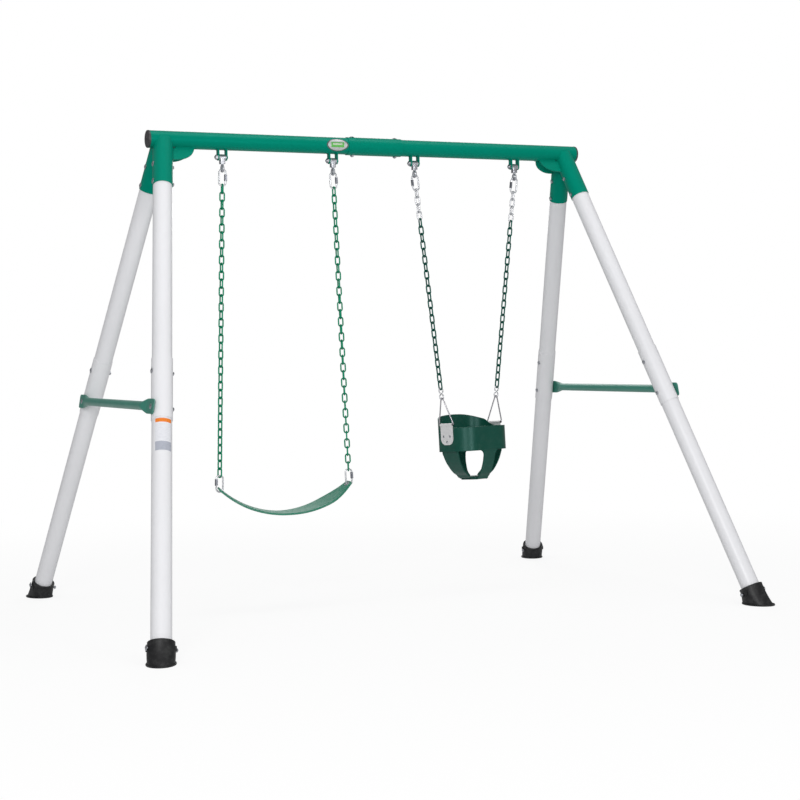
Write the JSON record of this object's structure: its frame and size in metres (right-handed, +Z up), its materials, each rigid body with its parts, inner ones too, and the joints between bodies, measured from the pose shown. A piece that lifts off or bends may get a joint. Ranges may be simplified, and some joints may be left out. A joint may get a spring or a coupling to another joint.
{
  "type": "swing set",
  "caption": "Free-standing swing frame with a top beam on two braced A-frames, carrying a belt swing and a full bucket swing on chains.",
  "frame": {"origin": "on the ground midway between the four feet, under the middle of the top beam", "axes": "+Z up, +X along the top beam from the belt swing towards the bucket swing, -Y the side a rider faces"},
  "size_m": [2.6366, 2.0094, 1.9763],
  "materials": {
    "green_paint": "semi-gloss powder coat",
    "brace_paint": "semi-gloss powder coat",
    "white_paint": "semi-gloss powder coat",
    "cap_plastic": "fine moulded texture",
    "boot_rubber": "matte",
    "zinc": "bright zinc plate",
    "bolt_zinc": "zinc plate",
    "plate_zinc": "pale zinc plate",
    "badge_metal": "satin",
    "label_film": "plain film",
    "belt_chain_vinyl": "soft vinyl dip",
    "bucket_chain_vinyl": "soft vinyl dip",
    "belt_plastic": "ribbed",
    "bucket_rubber": "satin moulded"
  },
  "bodies": {
    "frame": {"beam_tube_left": "green_paint", "beam_end_cap_left": "cap_plastic", "cross_brace_left": "brace_paint", "leg_socket_front_left": "green_paint", "upper_leg_front_left": "white_paint", "lower_leg_front_left": "white_paint", "foot_boot_front_left": "boot_rubber", "leg_socket_rear_left": "green_paint", "upper_leg_rear_left": "white_paint", "lower_leg_rear_left": "white_paint", "foot_boot_rear_left": "boot_rubber", "beam_tube_right": "green_paint", "beam_end_cap_right": "cap_plastic", "cross_brace_right": "brace_paint", "leg_socket_front_right": "green_paint", "upper_leg_front_right": "white_paint", "lower_leg_front_right": "white_paint", "foot_boot_front_right": "boot_rubber", "leg_socket_rear_right": "green_paint", "upper_leg_rear_right": "white_paint", "lower_leg_rear_right": "white_paint", "foot_boot_rear_right": "boot_rubber", "beam_sleeve": "green_paint", "socket_gussets": "green_paint", "hanger_ears": "green_paint", "beam_bolts": "bolt_zinc", "beam_nuts": "bolt_zinc", "frame_bolts": "bolt_zinc", "frame_nuts": "bolt_zinc", "hanger_pins": "bolt_zinc", "hanger_pin_nuts": "bolt_zinc", "badge_plate": "badge_metal", "leg_sleeves": "white_paint", "leg_label": "label_film"},
    "belt_swing": {"belt_yokes": "zinc", "belt_upper_quick_links": "zinc", "belt_upper_link_nuts": "zinc", "belt_chain_left": "belt_chain_vinyl", "belt_chain_right": "belt_chain_vinyl"},
    "belt_swivel_left": {"belt_swivel_left": "zinc"},
    "belt_swivel_right": {"belt_swivel_right": "zinc"},
    "bucket_swing": {"bucket_yokes": "zinc", "bucket_upper_quick_links": "zinc", "bucket_upper_link_nuts": "zinc", "bucket_chain_left": "bucket_chain_vinyl", "bucket_chain_right": "bucket_chain_vinyl", "bucket_zinc_links": "zinc", "bucket_s_hooks": "zinc"},
    "bucket_swivel_left": {"bucket_swivel_left": "zinc"},
    "bucket_swivel_right": {"bucket_swivel_right": "zinc"},
    "belt_seat": {"belt_seat": "belt_plastic", "belt_grommets": "zinc", "belt_lower_quick_links": "zinc", "belt_lower_link_nuts": "zinc"},
    "bucket_seat": {"bucket_front_panel": "bucket_rubber", "bucket_back_panel": "bucket_rubber", "bucket_side_strap": "bucket_rubber", "bucket_side_plates": "plate_zinc", "bucket_rivets": "zinc", "bucket_bails": "zinc"}
  },
  "joints": [
    {"name": "belt_swing_hinge", "type": "hinge", "parent": "frame", "child": "belt_swing", "pos_m": [-0.4325, 0, 1.87], "axis": [1, 0, 0], "range_deg": [-60, 60]},
    {"name": "belt_seat_tilt", "type": "hinge", "parent": "belt_swing", "child": "belt_seat", "pos_m": [-0.4325, 0, 0.5711], "axis": [1, 0, 0], "range_deg": [-40, 40]},
    {"name": "bucket_swing_hinge", "type": "hinge", "parent": "frame", "child": "bucket_swing", "pos_m": [0.4365, 0, 1.87], "axis": [1, 0, 0], "range_deg": [-60, 60]},
    {"name": "bucket_seat_tilt", "type": "hinge", "parent": "bucket_swing", "child": "bucket_seat", "pos_m": [0.4365, 0, 0.85313], "axis": [0.9613, 0.2756, 0], "range_deg": [-25, 25]},
    {"name": "belt_swivel_left_turn", "type": "hinge", "parent": "belt_swing", "child": "belt_swivel_left", "pos_m": [-0.677, 0, 1.83], "axis": [0, 0, 1], "range_deg": [-25, 25]},
    {"name": "belt_swivel_right_turn", "type": "hinge", "parent": "belt_swing", "child": "belt_swivel_right", "pos_m": [-0.188, 0, 1.83], "axis": [0, 0, 1], "range_deg": [-25, 25]},
    {"name": "bucket_swivel_left_turn", "type": "hinge", "parent": "bucket_swing", "child": "bucket_swivel_left", "pos_m": [0.192, 0, 1.83], "axis": [0, 0, 1], "range_deg": [-25, 25]},
    {"name": "bucket_swivel_right_turn", "type": "hinge", "parent": "bucket_swing", "child": "bucket_swivel_right", "pos_m": [0.681, 0, 1.83], "axis": [0, 0, 1], "range_deg": [-25, 25]}
  ]
}
